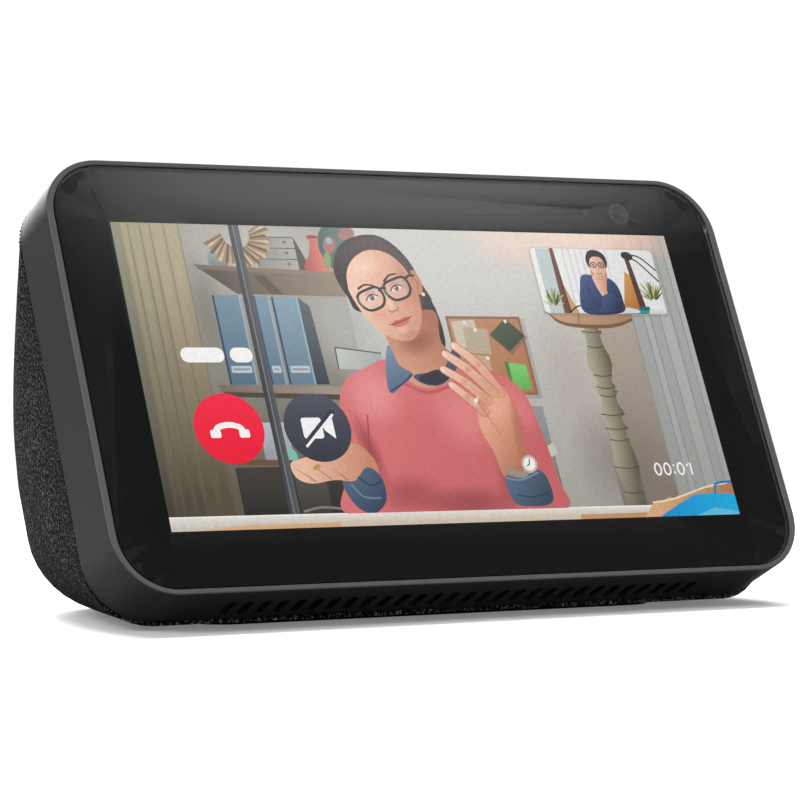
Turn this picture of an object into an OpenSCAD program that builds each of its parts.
// Smart display: a leaning touch screen in a frame band, with a fabric-covered body behind it.
// Face frame: X across, Y up the face, Z out of the face. Seat frame: upright, same origin.

/* [Overall] */
// Width of the frame band
body_w = 148; // [135:1:180]
// Height of the face, measured along the face
face_h = 85.8; // [80:0.2:105]
// How far the face leans back, in degrees
lean = 25.2; // [20:0.2:30]
// Depth of the frame band, square to the face
band_d = 13.8; // [13.8:0.1:18]
// Depth of the whole body, square to the face
body_d = 61.9; // [58:0.5:75]
// Corner radius of the frame band
corner_r = 11.8; // [6:0.1:16]

/* [Back body] */
// Half width of the flat end of the back
end_half_w = 38; // [34:1:46]
// Height of the top of the flat end, along the face
end_top_v = -8; // [-14:1:0]
// Share of the end's height that its top corners round off
end_round = 0.65; // [0.5:0.01:0.7]
// How soon the top corners round off, higher is sooner
top_rate = 1.7; // [1.2:0.05:2]
// How soon the bottom corners round off, higher is sooner
bottom_rate = 1.1; // [0.8:0.05:1.3]
// Bulge of the sides, 2 is an ellipse
side_bulge = 2.6; // [2.2:0.05:3]
// Bulge of the top, 2 is an ellipse
top_bulge = 1.5; // [1.4:0.05:2.2]
// Drop of the body below the band's lowest edge
belly = 0.6; // [0.4:0.1:2]
// Thickness of the fabric
fabric_t = 0.9; // [0.6:0.1:1.2]
// Gap between fabric and shell
fabric_gap = 0.1; // [0.05:0.05:0.2]
// Wall of the rear shell
shell_t = 2.2; // [1.8:0.1:2.6]

/* [Front frame] */
// Wall of the frame band
frame_t = 2; // [1.6:0.1:2.4]
// Width of the lip beside the glass
lip_side = 1.65; // [1.2:0.05:2.5]
// Width of the lip above and below the glass
lip_top = 1.25; // [1:0.05:2]
// Gap around the glass
glass_gap = 0.2; // [0.1:0.05:0.4]
// How far the glass sits below the lip
glass_drop = 0.15; // [0:0.05:0.3]
// Width of the ledge under the glass edge
ledge_w = 2.75; // [2:0.05:3]
// Thickness of the ledge
ledge_t = 1.2; // [0.8:0.1:1.2]
// Number of sound slots under the band
slot_count = 29; // [9:2:35]
// Distance between slots
slot_pitch = 3.57; // [3:0.05:4]
// Width of a slot
slot_w = 1.8; // [1:0.1:2.2]
// Length of a slot
slot_len = 6.4; // [4:0.1:6.6]
// Depth of the slots' middle behind the face
slot_d = 8.35; // [7:0.05:8.6]
// Slant of a slot in degrees
slot_slant = 0; // [-10:1:25]

/* [Screen] */
// Thickness of the cover glass
glass_t = 1.1; // [0.7:0.1:1.1]
// Corner radius of the glass
glass_r = 10.2; // [5:0.1:14]
// Frame face left beside the picture
side_border = 12.45; // [11.5:0.05:16]
// Frame face left above the picture
top_border = 12.45; // [11.8:0.05:16]
// Frame face left below the picture
bottom_border = 12.05; // [11.8:0.05:18]
// Thickness of the printed mask
mask_t = 0.1; // [0.05:0.05:0.15]
// Thickness of the glass adhesive
adhesive_t = 0.15; // [0.1:0.05:0.2]
// Thickness of the touch sensor
touch_t = 0.4; // [0.3:0.1:0.5]
// Thickness of the display panel
panel_t = 1.2; // [1:0.1:1.3]
// Depth of the backlight tray
tray_t = 2.4; // [2:0.1:2.4]

/* [Top controls] */
// Distance between button middles
button_pitch = 14; // [12:0.5:18]
// Length of a button
button_l = 9; // [7:0.1:10]
// Width of a button
button_w = 4.6; // [3.6:0.1:5]
// How far a button stands out
button_proud = 0.6; // [0.6:0.1:1.2]
// Travel of a button
button_travel = 0.5; // [0.3:0.1:0.5]
// Depth of the button row behind the face
button_d = 8.5; // [8:0.1:9]
// Gap around moving pieces
run_gap = 0.2; // [0.15:0.05:0.3]
// Travel of the camera shutter
shutter_travel = 6; // [5:0.1:6.5]

/* [Camera] */
// Distance of the camera from the middle
camera_u = 52; // [46:0.5:52]
// Distance of the camera below the top edge
camera_drop = 7.6; // [7.6:0.1:8]
// Radius of the window in the mask
camera_window_r = 2.4; // [2:0.1:2.6]

/* [Speaker] */
// Diameter of the speaker's flange
speaker_dia = 38; // [32:0.5:38]
// Diameter of the magnet
magnet_dia = 23; // [18:0.5:23]
// Diameter of the voice coil
coil_dia = 10; // [8:0.5:12]
// Height of the sound duct under the speaker
duct_h = 7.5; // [6:0.1:8]
// Height of the speaker box
box_h = 21; // [20:0.1:22]

/* [Base] */
// Half width of the foot at the front
foot_front = 50; // [44:1:54]
// Half width of the foot at the back
foot_back = 34; // [28:1:38]
// Length of the foot from front to back
foot_len = 40; // [34:1:42]
// How far the foot stands below the fabric
foot_out = 0.8; // [0.6:0.1:2]

/* [Ports] */
// Width of the port recess
port_w = 30; // [28:0.5:34]
// Height of the port recess
port_h = 11; // [10.5:0.1:12]
// Depth of the recess floor in front of the back of the body
port_deep = 7; // [6:0.1:8]
// Radius of the hole in the power inlet
inlet_r = 2.9; // [2:0.1:3]
// Radius of the inlet's pin
inlet_pin_r = 1.05; // [0.6:0.05:1.2]

/* [Hidden] */
$fn = 48;
s_lean = sin(lean);
c_lean = cos(lean);
eps = 0.01;

// Height of the base plane under the face's middle, and the place of the face's middle
base_drop = face_h / 2 * c_lean + band_d * s_lean + belly;
face_z = base_drop + foot_out;

// Back body: half width, top and bottom of the section at depth s, inset by e
loft_n = 14;
corner_n = 8;
function squircle(t, p) = t >= 1 ? 0 : pow(1 - pow(t, p), 1 / p);
function loft_s(i, e) = band_d + (body_d - e - band_d) * sin(90 * i / loft_n);
function loft_t(s, e) = (s - band_d) / (body_d - e - band_d);
function side_at(s, e) = end_half_w - e + (body_w / 2 - end_half_w) * squircle(loft_t(s, e), side_bulge);
function top_at(s, e) = end_top_v - e + (face_h / 2 - end_top_v) * squircle(loft_t(s, e), top_bulge);
function bottom_at(s, e) = (-base_drop + e + s * s_lean) / c_lean;
function round_at(s, e, end, rate) = let (start = corner_r / face_h, high = top_at(s, e) - bottom_at(s, e))
    (high + 2 * e) * (start + (end - start) * (1 - pow(1 - loft_t(s, e), rate))) - e - eps;
function arc(cx, cy, r, a) = [for (i = [0:corner_n]) let (b = a + 90 * i / corner_n)
    [cx + r * cos(b), cy + r * sin(b)]];
function outline(hw, top, bottom, r, q) = concat(arc(hw - r, top - r, r, 0), arc(r - hw, top - r, r, 90),
    arc(q - hw, bottom + q, q, 180), arc(hw - q, bottom + q, q, 270));
function section(s, e) = outline(side_at(s, e), top_at(s, e), bottom_at(s, e),
    round_at(s, e, end_round, top_rate), round_at(s, e, 1 - end_round, bottom_rate));
function rings(e) = [for (i = [0:loft_n]) let (s = loft_s(i, e)) for (p = section(s, e)) [p.x, p.y, -s]];
ring_n = 4 * (corner_n + 1);
function wall_faces(from, flip) = [for (i = [0:loft_n - 1], j = [0:ring_n - 1])
    let (a = from + i * ring_n + j, b = from + i * ring_n + (j + 1) % ring_n, c = a + ring_n, d = b + ring_n)
    each flip ? [[a, d, b], [a, c, d]] : [[a, b, d], [a, d, c]]];

// Where the body ends at the back, at the middle
rim_proud = 0.25;
rear_y = max([for (i = [0:loft_n]) let (s = loft_s(i, 0)) s * c_lean + top_at(s, 0) * s_lean]);
front_y = -face_h / 2 * s_lean;
face_y = -(front_y + rear_y + rim_proud) / 2;

// Depths behind the face
glass_back = glass_drop + glass_t;
mask_back = glass_back + mask_t;
ledge_d = mask_back + adhesive_t;
ledge_back = ledge_d + ledge_t;
touch_back = mask_back + touch_t;
panel_back = touch_back + panel_t;
tray_back = panel_back + tray_t;
chassis_d = tray_back + 0.6;
chassis_t = 1.4;
chassis_back = chassis_d + chassis_t;
board_d = chassis_back + 3.4;
board_t = 1.2;
board_back = board_d + board_t;
part_h = 1;

// Sizes on the face
glass_w = body_w - 2 * lip_side;
glass_h = face_h - 2 * lip_top;
inner_w = body_w - 2 * frame_t;
inner_h = face_h - 2 * frame_t;
inner_r = corner_r - frame_t;
wall_v = inner_h / 2;
edge_v = face_h / 2;
picture_w = body_w - 2 * side_border;
picture_h = face_h - top_border - bottom_border;
picture_v = (bottom_border - top_border) / 2;
panel_side = 1.95;
panel_w = picture_w + 2 * panel_side;
panel_v1 = picture_v + picture_h / 2 + 1.4;
panel_v0 = picture_v - picture_h / 2 - 4.6;
panel_h = panel_v1 - panel_v0;
camera_v = edge_v - camera_drop;
sensor_u = camera_u - 8;

// Heights in the seat frame
skin_t = fabric_t + fabric_gap;
shell_bottom = -base_drop + skin_t;
floor_z = shell_bottom + shell_t;
baffle_t = 1.6;
baffle_z = floor_z + duct_h;
box_z = baffle_z + baffle_t;
box_top = box_z + box_h;
speaker_r = speaker_dia / 2;
box_wall = 1.2;
box_gap = 0.4;
box_back = wall_y(chassis_back, baffle_z) + 8 + 2 * (speaker_r + box_gap + box_wall) - 3.6;
speaker_y = box_back - box_wall - box_gap - speaker_r;
box_front = speaker_y - speaker_r - box_gap - box_wall;
box_side = 27;
duct_side = 34;
function wall_y(d, z) = (d + z * s_lean) / c_lean;
function face_to_seat(u, v, d) = [u, d * c_lean + v * s_lean, v * c_lean - d * s_lean];

// Main board: it starts above the speaker box
board_w = 104;
board_v0 = (box_top + 1.2 + (board_back + 2.6) * s_lean) / c_lean;
board_v1 = edge_v - 12;
board_h = board_v1 - board_v0;
board_holes = [for (u = [-47.5, 47.5], v = [board_v0 + 4, board_v1 - 8]) [u, v]];
frame_holes = [for (u = [-1, 1], v = [-1, 1]) [u * (body_w / 2 - 6), v * 30]];
box_holes = [for (u = [-30.5, 30.5], y = [box_front + 6, box_back - 9]) [u, y]];
front_posts = [for (u = [-49, 49]) [u, 3]];
back_posts = [for (u = [-30.5, 30.5]) [u, speaker_y + 3]];

// Ports
port_z = -24 + (45.3 - base_drop);
port_floor_y = rear_y - port_deep;
port_floor_t = 1.2;
port_wall = 1;
port_board_t = 1;
port_board_z = port_z - 3.6;
port_board_l = 7.6;
port_holes = [for (u = [-13, 13]) [u, port_floor_y - port_floor_t - 4.4]];
inlet_u = -6.1;
inlet_w = 9;
inlet_h = 8.4;
inlet_z = port_board_z + inlet_h / 2;
usb_u = 5.5;
usb_w = 7.5;
usb_h = 2.7;
usb_z = port_board_z + usb_h / 2;

// Fasteners
small_hole_r = 0.85;
small_shank_r = 0.8;
screw_gap = 0.2;
small_head_r = 1.6;
small_head_h = 1;
small_len = 4;
case_shank_r = 0.9;
case_head_r = 2;
case_head_h = 1.2;
case_len = 7.5;
stand_magnet_r = 4;
stand_magnet_u = duct_side + 6;
stand_magnet_y = 9;

// Wire routes in the seat frame, from the speaker and the port board to the main board
speaker_route = [[15.5, speaker_y, box_z + 3.8], [20, speaker_y, box_z + 7], [24, speaker_y, box_z + 9],
    [30, speaker_y, box_z + 9], [36, speaker_y - 2, box_z + 15], [40, speaker_y - 4, box_z + 22],
    face_to_seat(41, board_v0 + 4, board_back + 1.7)];
port_route = [[3, box_back + 4, port_board_z - 1.9], [9, box_back + 1.6, port_board_z - 2.4],
    [20, box_back + 1.4, port_board_z - 1.4], [29.4, box_back + 0.4, port_board_z + 2],
    [31, box_back - 5, box_top - 6], [30, box_back - 14, box_top + 1.6], [24, box_back - 22, box_top + 4],
    face_to_seat(20, board_v0 + 4, board_back + 1.9)];

module face() translate([0, face_y, face_z]) rotate([90 - lean, 0, 0]) children();
module seat() translate([0, face_y, face_z]) children();

// A plate square to the face, from depth d to d + t
module layer(d, t) translate([0, 0, -d - t]) linear_extrude(t) children();
module rounded(w, h, r) {
    square([w - 2 * r, h], center = true);
    square([w, h - 2 * r], center = true);
    for (x = [-1, 1], y = [-1, 1]) translate([x * (w / 2 - r), y * (h / 2 - r)]) circle(r);
}
module pill(l, w) {
    square([l - w, w], center = true);
    for (x = [-1, 1]) translate([x * (l - w) / 2, 0]) circle(w / 2);
}
// A shape drawn across (X) and into (Y = depth), standing on the top or bottom wall of the band
module up_wall(v, t) translate([0, v + t, 0]) rotate([90, 0, 0]) linear_extrude(t) mirror([0, 1]) children();
// A bent strip: points are [height, depth] pairs, extruded across by w at u
function bend(p, i) = i == 0 ? p[1] - p[0] : i == len(p) - 1 ? p[i] - p[i - 1]
    : (p[i + 1] - p[i]) / norm(p[i + 1] - p[i]) + (p[i] - p[i - 1]) / norm(p[i] - p[i - 1]);
function beside(p, i, o) = let (b = bend(p, i) / norm(bend(p, i))) p[i] + o * [-b.y, b.x];
module strip(p, u, w, t) rotate([0, -90, 0]) translate([0, 0, -u - w / 2]) linear_extrude(w)
    polygon([for (i = [0:len(p) - 1]) let (q = beside(p, i, t / 2)) [-q.y, q.x],
        for (i = [len(p) - 1:-1:0]) let (q = beside(p, i, -t / 2)) [-q.y, q.x]]);
// A round wire through points, eight-sided
wire_n = 8;
function wire_dir(p, i) = let (a = p[max(i - 1, 0)], b = p[i], c = p[min(i + 1, len(p) - 1)],
    u = i == 0 ? [0, 0, 0] : (b - a) / norm(b - a), w = i == len(p) - 1 ? [0, 0, 0] : (c - b) / norm(c - b))
    (u + w) / norm(u + w);
function wire_ring(p, i, r) = let (t = wire_dir(p, i), h = abs(t.x) < 0.8 ? [1, 0, 0] : [0, 1, 0],
    a = cross(t, h) / norm(cross(t, h)), b = cross(t, a))
    [for (k = [0:wire_n - 1]) p[i] + r * (cos(360 * k / wire_n) * a + sin(360 * k / wire_n) * b)];
module wire(p, r) {
    last = (len(p) - 1) * wire_n;
    polyhedron([for (i = [0:len(p) - 1]) each wire_ring(p, i, r)], concat(
        [[for (k = [0:wire_n - 1]) k]], [[for (k = [wire_n - 1:-1:0]) last + k]],
        [for (i = [0:len(p) - 2], k = [0:wire_n - 1])
            let (a = i * wire_n + k, b = i * wire_n + (k + 1) % wire_n)
            each [[a, a + wire_n, b + wire_n], [a, b + wire_n, b]]]));
}
module small_screw() {
    translate([0, 0, -small_head_h]) difference() {
        cylinder(r = small_head_r, h = small_head_h);
        for (a = [0, 90]) rotate(a) cube([1.6, 0.4, 1], center = true);
    }
    cylinder(r = small_shank_r, h = small_len);
}
module case_screw() {
    difference() {
        cylinder(r = case_head_r, h = case_head_h);
        for (a = [0, 90]) rotate(a) cube([2.2, 0.5, 1.2], center = true);
    }
    translate([0, 0, case_head_h]) cylinder(r = case_shank_r, h = case_len);
}

// The back body as a closed solid, inset by e
module back_solid(e) {
    last = loft_n * ring_n;
    polyhedron(rings(e), concat(wall_faces(0, false), [[for (j = [ring_n - 1:-1:0]) j]],
        [[for (j = [0:ring_n - 1]) last + j]]));
}
// The back body as a cup: outer inset o, inner inset i
module back_cup(o, i) {
    all = (loft_n + 1) * ring_n;
    last = loft_n * ring_n;
    rim = [for (j = [0:ring_n - 1]) let (k = (j + 1) % ring_n) each [[j, all + k, k], [j, all + j, all + k]]];
    polyhedron(concat(rings(o), rings(i)), concat(wall_faces(0, false), wall_faces(all, true), rim,
        [[for (j = [0:ring_n - 1]) last + j]], [[for (j = [ring_n - 1:-1:0]) all + last + j]]));
}
module foot_outline(gap) {
    y0 = wall_y(band_d, -base_drop) + 4;
    r = 7;
    far = [[foot_front, y0 + r], [foot_back, y0 + foot_len - r], [-foot_back, y0 + foot_len - r],
        [-foot_front, y0 + r]];
    hull() for (p = far) translate([p.x - sign(p.x) * r, p.y]) circle(r + gap, $fn = 32);
}
module port_prism(gap, y0) translate([0, y0, port_z]) rotate([-90, 0, 0])
    linear_extrude(rear_y + 3 - y0) rounded(port_w + 2 * gap, port_h + 2 * gap, 3 + gap);

module front_frame() color("dimgray") face() {
    difference() {
        layer(0, band_d) rounded(body_w, face_h, corner_r);
        layer(-1, ledge_d + 1) rounded(glass_w + 2 * glass_gap, glass_h + 2 * glass_gap, glass_r + glass_gap);
        layer(-1, ledge_back + 2) rounded(glass_w - 2 * ledge_w, glass_h - 2 * ledge_w, glass_r - ledge_w);
        layer(ledge_back, band_d) rounded(inner_w, inner_h, inner_r);
        for (i = [0:slot_count - 1]) up_wall(-edge_v - 1, frame_t + 1.5)
            translate([(i - (slot_count - 1) / 2) * slot_pitch, slot_d]) rotate(-slot_slant) rotate(90)
                pill(slot_len, slot_w);
        for (i = [-1:1]) up_wall(wall_v - 1, frame_t + 2)
            translate([i * button_pitch, button_d]) pill(button_l + 2 * run_gap, button_w + 2 * run_gap);
        for (u = [-1, 1]) up_wall(wall_v - 1, frame_t + 2)
            translate([u * mic_u, button_d]) circle(0.5, $fn = 24);
        shutter_cut();
    }
    for (p = frame_holes) difference() {
        union() {
            translate([p.x, p.y, -chassis_d]) cylinder(r = 2.3, h = chassis_d - ledge_back);
            translate([p.x + sign(p.x) * 2.6, p.y, -(chassis_d + ledge_back) / 2])
                cube([3.6, 1.6, chassis_d - ledge_back], center = true);
        }
        translate([p.x, p.y, -chassis_d - 1]) cylinder(r = small_hole_r, h = chassis_d - ledge_back + 0.6);
    }
}
mic_u = 2 * button_pitch - 3;
knob_l = 7.4;
knob_w = 3.8;
knob_sink = 0.7;
stem_l = 2;
stem_w = 1.6;
knob_u = camera_u + shutter_travel + 0.1;
knob_d = 7.1;
module shutter_cut() {
    up_wall(edge_v - knob_sink, 3) translate([knob_u - shutter_travel / 2, knob_d])
        pill(knob_l + shutter_travel + 2 * run_gap, knob_w + 2 * run_gap);
    up_wall(wall_v - 1, frame_t + 2) translate([knob_u - shutter_travel / 2, knob_d])
        square([stem_l + shutter_travel + 2 * run_gap, stem_w + 2 * run_gap], center = true);
}

module cover_glass() color("lightcyan", 0.4) face() layer(glass_drop, glass_t)
    rounded(glass_w, glass_h, glass_r);

module mask_film() color("black") face() layer(glass_back, mask_t) difference() {
    rounded(glass_w - 0.6, glass_h - 0.6, glass_r - 0.3);
    translate([0, picture_v]) square([picture_w, picture_h], center = true);
    translate([camera_u, camera_v]) circle(camera_window_r);
    translate([sensor_u, camera_v]) circle(0.7, $fn = 24);
}

module glass_adhesive() color("gray") face() layer(mask_back, adhesive_t) difference() {
    rounded(glass_w - 1.2, glass_h - 1.2, glass_r - 0.6);
    rounded(glass_w - 2 * ledge_w, glass_h - 2 * ledge_w, glass_r - ledge_w);
}

module panel_plate(d, t, inset, raise) translate([0, (panel_v1 + panel_v0 + raise) / 2, -d - t / 2])
    cube([panel_w - 2 * inset, panel_h - raise - 2 * inset, t], center = true);

module touch_sensor() color("silver") face() panel_plate(mask_back, touch_t, 0, 1.9);

module display_panel() color("darkslategray") face() panel_plate(touch_back, panel_t, 0, 0);

module light_guide() color("white") face() panel_plate(panel_back, tray_t - 0.4, 0.5, 0);

module backlight_tray() color("silver") face() difference() {
    panel_plate(panel_back, tray_t, 0, 0);
    panel_plate(panel_back - 1, tray_t + 1 - 0.3, 0.35, 0);
}

module display_flex() color("darkorange") face() {
    d1 = panel_back + 0.3;
    strip([[panel_v0 - 0.1, touch_back + 0.6], [panel_v0 - 1.4, d1], [panel_v0 - 1.6, chassis_back + 1],
        [panel_v0 + 2, chassis_back + 1.8], [board_v0 - 4, board_back + part_h + 0.1],
        [board_v0 + 4, board_back + part_h + 0.1]], -36.5, 11, 0.2);
}

module touch_flex() color("darkorange") face() {
    strip([[panel_v0 + 1.8, mask_back + 0.1], [panel_v0 - 0.7, mask_back + 0.3],
        [panel_v0 - 1, panel_back], [panel_v0 - 1, chassis_back + 1], [panel_v0 + 2, chassis_back + 1.8],
        [board_v0 - 4, board_back + part_h + 0.1], [board_v0 + 4, board_back + part_h + 0.1]], 33, 5, 0.2);
}

module chassis() color("slategray") {
    face() difference() {
        union() {
            layer(chassis_d, chassis_t) rounded(inner_w - 1, inner_h - 1, inner_r - 0.5);
            for (p = board_holes) translate([p.x, p.y, -board_d])
                cylinder(r = 2.2, h = board_d - chassis_back + 0.2);
            translate([camera_u, camera_v - 6.6, -chassis_back - 1.2]) cylinder(r = 2.2, h = 1.4);
            up_wall(button_board_v - 1.2, 1.2) translate([-5, chassis_d + 0.5]) square([10, 5.5]);
        }
        layer(chassis_d - 1, 4) translate([-mic_u - 8, button_board_v - 1.7]) square([2 * mic_u + 16, 12]);
        layer(chassis_d - 1, 4) translate([camera_u - 11, camera_v - 3.6]) square([24, 14]);
        layer(chassis_d - 1, 4) translate([-44, -wall_v - 1]) square([88, wall_v + panel_v0 + 1]);
        for (p = frame_holes) translate([p.x, p.y, -chassis_back - 1])
            cylinder(r = small_shank_r + screw_gap, h = 9);
        for (p = board_holes) translate([p.x, p.y, -board_d - 1]) cylinder(r = small_hole_r, h = 4);
        translate([camera_u, camera_v - 6.6, -chassis_back - 2]) cylinder(r = small_hole_r, h = 4);
    }
    face() up_wall(button_board_v - 1.2, 1.2) translate([-5, chassis_d]) square([10, 6]);
    face() layer(chassis_d, chassis_t) translate([-5, button_board_v - 2.2]) square([10, 2.2]);
    seat() for (p = front_posts) difference() {
        union() {
            translate([p.x, p.y, floor_z]) cylinder(r = 2.6, h = 9);
            translate([p.x - 1, 0, 0]) rotate([90, 0, 90]) linear_extrude(2)
                polygon([[wall_y(chassis_back - 0.4, floor_z + 3), floor_z + 3], [p.y, floor_z + 3],
                    [p.y, floor_z + 8.5], [wall_y(chassis_back - 0.4, floor_z + 8.5), floor_z + 8.5]]);
        }
        translate([p.x, p.y, floor_z - 1]) cylinder(r = case_shank_r + 0.05, h = 9);
    }
}

button_board_v = wall_v - 5.5;
board_top_v = button_board_v + 1;
switch_h = 1.6;
module button_board() color("darkgreen") face() difference() {
    up_wall(button_board_v, 1) translate([-mic_u - 5, button_d - 4]) square([2 * mic_u + 10, 8]);
    for (u = [-1, 1]) up_wall(button_board_v - 1, 3) translate([u * mic_u, button_d]) circle(0.4, $fn = 24);
}

module tact_switches() color("silver") face() for (i = [-1:1]) difference() {
    up_wall(board_top_v, switch_h) translate([i * button_pitch, button_d]) square(4.2, center = true);
    up_wall(board_top_v + 0.3, switch_h) translate([i * button_pitch, button_d]) circle(1.15);
}
module plunger(i) color("black") face() up_wall(board_top_v + 0.9, 1.6)
    translate([i * button_pitch, button_d]) circle(1);
module mic_off_plunger() plunger(-1);
module volume_down_plunger() plunger(0);
module volume_up_plunger() plunger(1);

module button(i) color("dimgray") face() {
    up_wall(wall_v - 0.15, frame_t + button_proud + 0.15) translate([i * button_pitch, button_d])
        pill(button_l, button_w);
    up_wall(wall_v - 1, 0.85) translate([i * button_pitch, button_d]) pill(button_l + 2, button_w + 2);
    up_wall(board_top_v + 2.5, wall_v - 1 - board_top_v - 2.5) translate([i * button_pitch, button_d])
        circle(1.6);
}
module mic_off_button() difference() {
    button(-1);
    face() up_wall(edge_v + button_proud - 0.15, 1) translate([-button_pitch, button_d]) rotate(45)
        pill(3.2, 0.5);
}
module volume_down_button() difference() {
    button(0);
    face() up_wall(edge_v + button_proud - 0.15, 1) translate([0, button_d]) pill(2.4, 0.5);
}
module volume_up_button() difference() {
    button(1);
    for (a = [0, 90]) face() up_wall(edge_v + button_proud - 0.15, 1)
        translate([button_pitch, button_d]) rotate(a) pill(2.4, 0.5);
}

module microphones() face() for (u = [-1, 1]) {
    color("silver") up_wall(button_board_v - 0.9, 0.9) translate([u * mic_u, button_d])
        square([3.4, 2.6], center = true);
    color("black") difference() {
        up_wall(board_top_v, wall_v - board_top_v) translate([u * mic_u, button_d]) circle(1.8);
        up_wall(board_top_v - 1, 6) translate([u * mic_u, button_d]) circle(0.7, $fn = 24);
    }
}

module button_flex() color("darkorange") face() strip([[button_board_v - 0.1, button_d + 1],
    [button_board_v - 0.1, button_d + 4.3], [button_board_v - 1.5, board_back + part_h + 0.6],
    [board_v1 - 0.5, board_back + part_h + 0.1], [board_v1 - 3.5, board_back + part_h + 0.1]], 14, 5, 0.2);

module shutter_knob() color("dimgray") face() {
    difference() {
        up_wall(edge_v - knob_sink + 0.15, knob_sink + 0.55) translate([knob_u, knob_d]) pill(knob_l, knob_w);
        for (i = [-1:1]) up_wall(edge_v + 0.2, 1) translate([knob_u + i, knob_d])
            square([0.4, 2.2], center = true);
    }
    up_wall(wall_v - 0.3, frame_t - knob_sink + 0.45) translate([knob_u, knob_d])
        square([stem_l, stem_w], center = true);
}

module shutter_blade() color("black") face() {
    d = ledge_back + 0.3;
    translate([knob_u - 3.5, camera_v - 2.9, -d - 0.3]) cube([7, wall_v - 0.3 - camera_v + 2.9, 0.3]);
    up_wall(wall_v - 1, 0.7) translate([knob_u - 2.5, d]) square([5, knob_d + 1 - d]);
}

lens_d = ledge_back + 0.8;
module camera_lens() color("midnightblue") face() translate([camera_u, camera_v, -lens_d - 0.6])
    intersection() {
        cylinder(r = 1.7, h = 0.6);
        translate([0, 0, -4]) sphere(r = 4.6);
    }
module camera_module() color("black") face() {
    difference() {
        translate([camera_u, camera_v, -lens_d - 2]) cylinder(r = 2.6, h = 1.9);
        translate([camera_u, camera_v, -lens_d - 0.6]) cylinder(r = 1.75, h = 1);
    }
    translate([camera_u, camera_v, -lens_d - 3.2]) cube([6, 6, 2.4], center = true);
}
module camera_bracket() color("gray") face() difference() {
    union() {
        translate([camera_u, camera_v, -chassis_back - 0.3]) cube([8.8, 7, 3.8], center = true);
        translate([camera_u - 2.5, camera_v - 9, -chassis_back - 2.2]) cube([5, 6, 1]);
        translate([sensor_u - 2, camera_v - 2, -chassis_back + 0.3]) cube([6.4, 4, 1.3]);
    }
    translate([camera_u, camera_v, -chassis_back]) cube([6.2, 6.2, 8], center = true);
    translate([camera_u, camera_v - 6.6, -chassis_back - 3]) cylinder(r = small_shank_r + screw_gap, h = 4);
}
module light_sensor() color("black") face() {
    front = mask_back + 0.3;
    back = chassis_back - 1.6;
    translate([sensor_u, camera_v, -(front + back) / 2]) cube([2.4, 2, back - front], center = true);
}
module camera_flex() color("darkorange") face() strip([
    [camera_v + 2.5, lens_d + 4.5], [camera_v - 1, lens_d + 4.5],
    [board_v1 + 0.5, board_back + part_h + 0.1], [board_v1 - 3.5, board_back + part_h + 0.1]],
    camera_u - 1, 3.6, 0.2);

module main_board() color("darkgreen") face() difference() {
    translate([-board_w / 2, board_v0, -board_back]) cube([board_w, board_h, board_t]);
    for (p = board_holes) translate([p.x, p.y, -board_back - 1])
        cylinder(r = small_shank_r + screw_gap, h = 4);
}
chip_list = [[-20, 0.56, 14, 14], [-3, 0.6, 11, 12], [-35, 0.7, 8, 7], [-34, 0.38, 6, 6], [8, 0.25, 5, 5]];
module board_chips() color([0.1, 0.1, 0.1]) face() for (c = chip_list)
    translate([c[0] - c[2] / 2, board_v0 + board_h * c[1] - c[3] / 2, -board_back - part_h])
        cube([c[2], c[3], part_h]);
module can(u, v, w, h) difference() {
    translate([u - w / 2, v - h / 2, -board_back - 2]) cube([w, h, 2]);
    translate([u - w / 2 + 0.2, v - h / 2 + 0.2, -board_back - 1.8]) cube([w - 0.4, h - 0.4, 2]);
}
module board_shields() color("silver") face() {
    can(25, board_v1 - 15, 17, 14);
    can(39.5, board_v1 - 15, 10, 11);
}
socket_list = [[-36.5, 2.5, 12, 4], [33, 2.5, 6, 4], [41, 4, 5, 3], [20, 4, 6, 3], [14, board_h - 3, 6, 3],
    [camera_u - 1, board_h - 3, 4, 3]];
module board_connectors() color("ivory") face() for (c = socket_list)
    translate([c[0] - c[2] / 2, board_v0 + c[1] - c[3] / 2, -board_back - part_h]) cube([c[2], c[3], part_h]);
module thermal_pads() color("lightblue") face() for (i = [0, 1])
    translate([chip_list[i][0] - 5, board_v0 + board_h * chip_list[i][1] - 5, -board_back - 2.3])
        cube([10, 10, 2.3 - part_h]);
module heat_sink() color("silver") face() {
    w = 36;
    h = board_h - 11;
    v0 = board_v0 + 6;
    translate([-31, v0, -board_back - 3.5]) cube([w, h, 1.2]);
    for (i = [0:11]) translate([-31 + i * (w - 1) / 11, v0, -board_back - 8]) cube([1, h, 4.6]);
}
module antennas() face() for (s = [-1, 1]) {
    color("goldenrod") translate([s * 59 - 8, -4, -chassis_back - 0.3]) cube([16, 8, 0.3]);
    color("black") wire([[s * 58, 5, -chassis_back - 0.6], [s * 58, board_v1 - 12, -chassis_back - 0.6],
        [s * 55, board_v1 - 8, -board_back - 0.6], [s * 50.5, board_v1 - 6.5, -board_back - 0.6]], 0.55);
}
module slot_mesh() color("black") face() up_wall(-wall_v, 0.25)
    translate([-slot_count * slot_pitch / 2 - 1, slot_d - 4.2]) square([slot_count * slot_pitch + 2, 8.4]);

module small_screws() color("silver") {
    face() {
        for (p = frame_holes) translate([p.x, p.y, -chassis_back]) small_screw();
        for (p = board_holes) translate([p.x, p.y, -board_back]) small_screw();
        translate([camera_u, camera_v - 6.6, -chassis_back - 2.2]) small_screw();
    }
    seat() for (p = box_holes) translate([p.x, p.y, box_z + 1.6]) mirror([0, 0, 1]) small_screw();
    seat() for (p = port_holes) translate([p.x, p.y, port_board_z]) mirror([0, 0, 1]) small_screw();
}

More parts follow.
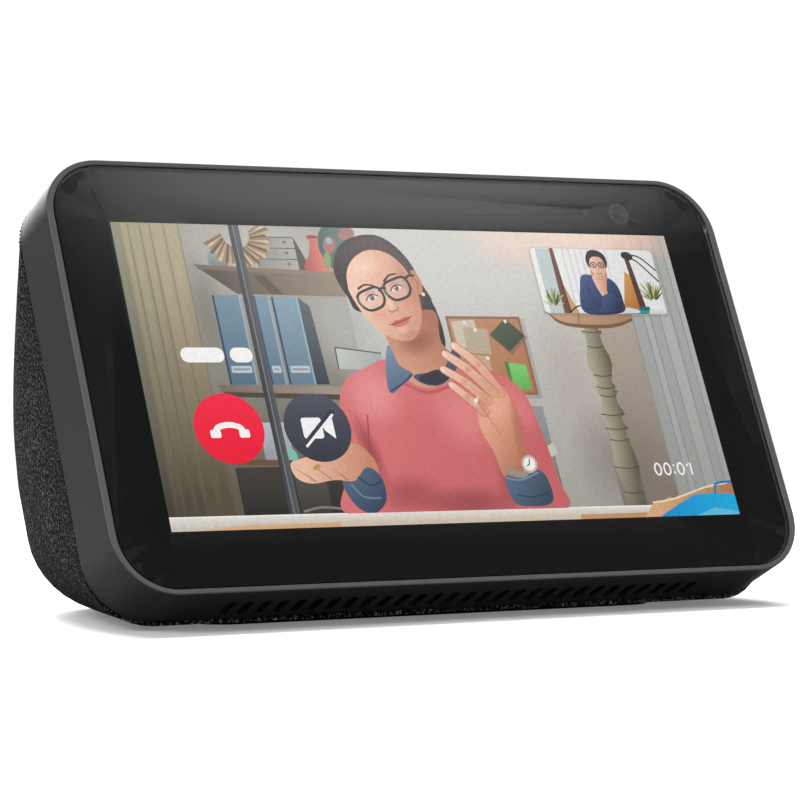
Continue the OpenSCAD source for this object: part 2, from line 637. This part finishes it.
// Speaker: heights above the baffle
gasket_h = 0.8;
flange_z = gasket_h;
flange_h = 1;
frame_z = 8.8;
plate_h = 1.2;
plate_z = frame_z + 0.8;
magnet_h = 5;
coil_r = coil_dia / 2;
coil_z0 = 5;
coil_z1 = plate_z + plate_h + 2.2;
spider_z = 6.6;
neck_z = 5.6;
neck_r = magnet_dia / 2 + 0.7;
cone_r = speaker_r - 5;
surround_r = speaker_r - 2.6;
cone_z = flange_z + 0.6;
module on_baffle() seat() translate([0, speaker_y, box_z]) children();
module spun(p) rotate_extrude() polygon(p);
module speaker_gasket() color("black") on_baffle() difference() {
    cylinder(r = speaker_r, h = gasket_h);
    translate([0, 0, -1]) cylinder(r = surround_r, h = gasket_h + 2);
}
module speaker_basket() color("black") on_baffle() difference() {
    union() {
        spun([[surround_r - 0.2, flange_z], [speaker_r, flange_z], [speaker_r, flange_z + flange_h],
            [surround_r + 0.8, flange_z + flange_h], [neck_r, neck_z], [neck_r, plate_z],
            [coil_r + 0.6, plate_z], [coil_r + 0.6, frame_z], [neck_r - 0.8, frame_z],
            [neck_r - 0.8, neck_z], [surround_r - 0.2, flange_z + flange_h]]);
    }
    for (a = [45:90:315]) rotate(a) translate([8, -3, flange_z + flange_h + 0.4]) cube([14, 6, 2.6]);
}
module front_plate() color("silver") on_baffle() difference() {
    translate([0, 0, plate_z]) cylinder(r = magnet_dia / 2, h = plate_h);
    translate([0, 0, plate_z - 1]) cylinder(r = coil_r + 0.45, h = plate_h + 2);
}
module speaker_magnet() color("darkgray") on_baffle() difference() {
    translate([0, 0, plate_z + plate_h]) cylinder(r = magnet_dia / 2 - 0.3, h = magnet_h);
    translate([0, 0, plate_z]) cylinder(r = coil_r + 1.2, h = magnet_h + 3);
}
module back_plate() color("silver") on_baffle() {
    translate([0, 0, plate_z + plate_h + magnet_h]) cylinder(r = magnet_dia / 2, h = plate_h);
    translate([0, 0, plate_z]) cylinder(r = coil_r - 0.55, h = plate_h + magnet_h + 0.5);
}
module voice_coil() color("peru") on_baffle() difference() {
    translate([0, 0, coil_z0]) cylinder(r = coil_r + 0.1, h = coil_z1 - coil_z0);
    translate([0, 0, coil_z0 - 1]) cylinder(r = coil_r - 0.25, h = coil_z1 - coil_z0 + 2);
}
module speaker_cone() color("black") on_baffle()
    spun([[cone_r, cone_z], [cone_r, cone_z + 0.4], [coil_r + 0.1, coil_z0 + 0.7], [coil_r + 0.1, coil_z0],
        [coil_r - 0.25, coil_z0], [coil_r - 0.25, coil_z0 - 0.3], [cone_r - 0.6, cone_z]]);
module dust_cap() color("black") on_baffle() translate([0, 0, coil_z0 - 0.5]) {
    dome_r = sqrt(49 + (coil_r + 0.2) * (coil_r + 0.2));
    difference() {
        translate([0, 0, 7]) sphere(r = dome_r);
        translate([0, 0, 7]) sphere(r = dome_r - 0.3);
        translate([-20, -20, 0]) cube([40, 40, 30]);
    }
}
module speaker_surround() color("black") on_baffle() {
    m = (cone_r + surround_r - 0.2) / 2;
    w = (surround_r - 0.2 - cone_r) / 2;
    rotate_extrude() translate([m, flange_z + 0.6]) difference() {
        circle(w);
        circle(w - 0.3);
        translate([-5, 0]) square(10);
    }
}
module speaker_spider() color("khaki") on_baffle() difference() {
    union() {
        translate([0, 0, spider_z]) cylinder(r = magnet_dia / 2 - 0.6, h = 0.3);
        for (r = [coil_r + 1.6:1.6:magnet_dia / 2 - 1.6]) translate([0, 0, spider_z]) difference() {
            cylinder(r = r + 0.4, h = 0.6);
            translate([0, 0, -1]) cylinder(r = r, h = 3);
        }
    }
    translate([0, 0, spider_z - 1]) cylinder(r = coil_r + 0.1, h = 3);
}

module speaker_baffle() color("slategray") seat() difference() {
    union() {
        translate([0, (box_front + box_back) / 2, baffle_z]) linear_extrude(baffle_t)
            rounded(2 * duct_side, box_back - box_front, 3);
        for (x = [-1, 1]) translate([x * (duct_side - 0.6) - 0.6, box_front + 4, floor_z])
            cube([1.2, box_back - box_front - 8, duct_h + 0.2]);
        translate([-duct_side + 4, box_back - 1.2, floor_z]) cube([2 * duct_side - 8, 1.2, duct_h + 0.2]);
        for (p = back_posts) translate([p.x, p.y, floor_z]) cylinder(r = 2.4, h = duct_h + 0.2);
        for (p = box_holes) translate([p.x, p.y, baffle_z - 2]) cylinder(r = 2, h = 2.2);
    }
    translate([0, speaker_y, baffle_z - 1]) cylinder(r = surround_r - 0.4, h = baffle_t + 2);
    for (p = back_posts) translate([p.x, p.y, floor_z - 1]) cylinder(r = case_shank_r + 0.05, h = 9);
    for (p = box_holes) translate([p.x, p.y, baffle_z - 1.6]) cylinder(r = small_hole_r, h = 5);
}
tier_h = 7;
tier_front = wall_y(chassis_back, box_top) + 0.9;
module box_tiers(g, z0) {
    translate([0, (box_front + box_back) / 2, z0]) linear_extrude(box_z + tier_h - g - z0)
        rounded(2 * (box_side - g), box_back - box_front - 2 * g, 4 - g);
    translate([0, (tier_front + box_back) / 2, z0]) linear_extrude(box_top - g - z0)
        rounded(2 * (box_side - g), box_back - tier_front - 2 * g, 4 - g);
}
module speaker_box() color("slategray") seat() difference() {
    union() {
        box_tiers(0, box_z);
        for (p = box_holes) translate([p.x, p.y, box_z]) cylinder(r = 2.6, h = 1.6);
        for (p = box_holes) translate([p.x - sign(p.x) * 1.8, p.y, box_z + 0.8])
            cube([3.8, 5.2, 1.6], center = true);
    }
    box_tiers(box_wall, box_z - 1);
    for (p = box_holes) translate([p.x, p.y, box_z - 1]) cylinder(r = small_shank_r + screw_gap, h = 4);
    translate([box_side - 3, speaker_route[2].y, speaker_route[2].z]) rotate([0, 90, 0])
        cylinder(r = 1.1, h = 6);
}
module speaker_wires() color("red") seat() wire(speaker_route, 0.6);

module port_tray() color("black") intersection() {
    seat() difference() {
        port_prism(0, port_floor_y - port_floor_t);
        port_prism(-port_wall, port_floor_y);
        translate([inlet_u, port_floor_y - 5, inlet_z]) rotate([-90, 0, 0])
            cylinder(r = inlet_r + 0.3, h = 9);
        translate([usb_u, port_floor_y, usb_z]) cube([usb_w + 0.6, 9, usb_h + 0.6], center = true);
    }
    face() back_solid(-rim_proud);
}
jack_y0 = port_floor_y - port_floor_t - port_board_l + 0.2;
module power_inlet() color("black") seat() {
    l = port_floor_y - port_floor_t - jack_y0;
    difference() {
        translate([inlet_u - inlet_w / 2, jack_y0, port_board_z]) cube([inlet_w, l, inlet_h]);
        translate([inlet_u, jack_y0 + 1, inlet_z]) rotate([-90, 0, 0]) cylinder(r = inlet_r, h = l);
    }
    translate([inlet_u, jack_y0 + 0.5, inlet_z]) rotate([-90, 0, 0]) cylinder(r = inlet_pin_r, h = l - 1);
}
module usb_socket() color("silver") seat() {
    l = port_floor_y - 0.2 - jack_y0 - 1.5;
    translate([usb_u, jack_y0 + 1.5, usb_z]) {
        difference() {
            translate([-usb_w / 2, 0, -usb_h / 2]) cube([usb_w, l, usb_h]);
            translate([-usb_w / 2 + 0.3, 1, -usb_h / 2 + 0.3]) cube([usb_w - 0.6, l, usb_h - 0.6]);
        }
        translate([-2.2, 0.5, 0.1]) cube([4.4, l - 1.3, 0.5]);
    }
}
module port_board() color("darkgreen") seat() difference() {
    translate([-15, port_floor_y - port_floor_t - port_board_l, port_board_z - port_board_t])
        cube([30, port_board_l, port_board_t]);
    for (p = port_holes) translate([p.x, p.y, port_board_z - 2])
        cylinder(r = small_shank_r + screw_gap, h = 4);
}
module port_cable() color("black") seat() wire(port_route, 0.8);

module rear_shell() color("gray") {
    difference() {
        face() back_cup(skin_t, skin_t + shell_t);
        seat() port_prism(0.15, port_floor_y - 10);
        seat() for (p = concat(front_posts, back_posts)) {
            translate([p.x, p.y, shell_bottom - 1]) cylinder(r = case_head_r + 0.15, h = case_head_h + 1);
            translate([p.x, p.y, shell_bottom]) cylinder(r = case_shank_r + screw_gap, h = 9);
        }
    }
    seat() for (x = [-1, 1]) translate([x * stand_magnet_u, stand_magnet_y, floor_z - 0.2]) difference() {
        cylinder(r = stand_magnet_r + 1.2, h = 2.7);
        translate([0, 0, 0.2]) cylinder(r = stand_magnet_r + 0.2, h = 4);
    }
    seat() for (p = port_holes) difference() {
        translate([p.x, p.y, floor_z - 0.2])
            cylinder(r = 1.9, h = port_board_z - port_board_t - floor_z + 0.2);
        translate([p.x, p.y, port_board_z - port_board_t - 4]) cylinder(r = small_hole_r, h = 6);
    }
}
module fabric_cover() color("darkslategray") difference() {
    face() back_cup(0, fabric_t);
    seat() port_prism(0.1, port_floor_y - 2);
    seat() translate([0, 0, -base_drop - 2]) linear_extrude(4) foot_outline(0.2);
}
module rubber_foot() color("black") seat() translate([0, 0, -base_drop - foot_out])
    linear_extrude(foot_out + skin_t) foot_outline(0);
module case_screws() color("silver") seat() for (p = concat(front_posts, back_posts))
    translate([p.x, p.y, shell_bottom]) case_screw();
module stand_magnets() color("silver") seat() for (x = [-1, 1])
    translate([x * stand_magnet_u, stand_magnet_y, floor_z]) cylinder(r = stand_magnet_r, h = 3);

front_frame();
cover_glass();
mask_film();
glass_adhesive();
touch_sensor();
touch_flex();
display_panel();
display_flex();
light_guide();
backlight_tray();
chassis();
small_screws();
main_board();
board_chips();
board_shields();
board_connectors();
thermal_pads();
heat_sink();
button_board();
button_flex();
tact_switches();
mic_off_plunger();
volume_down_plunger();
volume_up_plunger();
mic_off_button();
volume_down_button();
volume_up_button();
microphones();
shutter_knob();
shutter_blade();
camera_module();
camera_lens();
camera_bracket();
camera_flex();
light_sensor();
antennas();
slot_mesh();
speaker_basket();
speaker_gasket();
front_plate();
speaker_magnet();
back_plate();
voice_coil();
speaker_cone();
dust_cap();
speaker_surround();
speaker_spider();
speaker_baffle();
speaker_box();
speaker_wires();
port_tray();
power_inlet();
usb_socket();
port_board();
port_cable();
rear_shell();
fabric_cover();
rubber_foot();
case_screws();
stand_magnets();
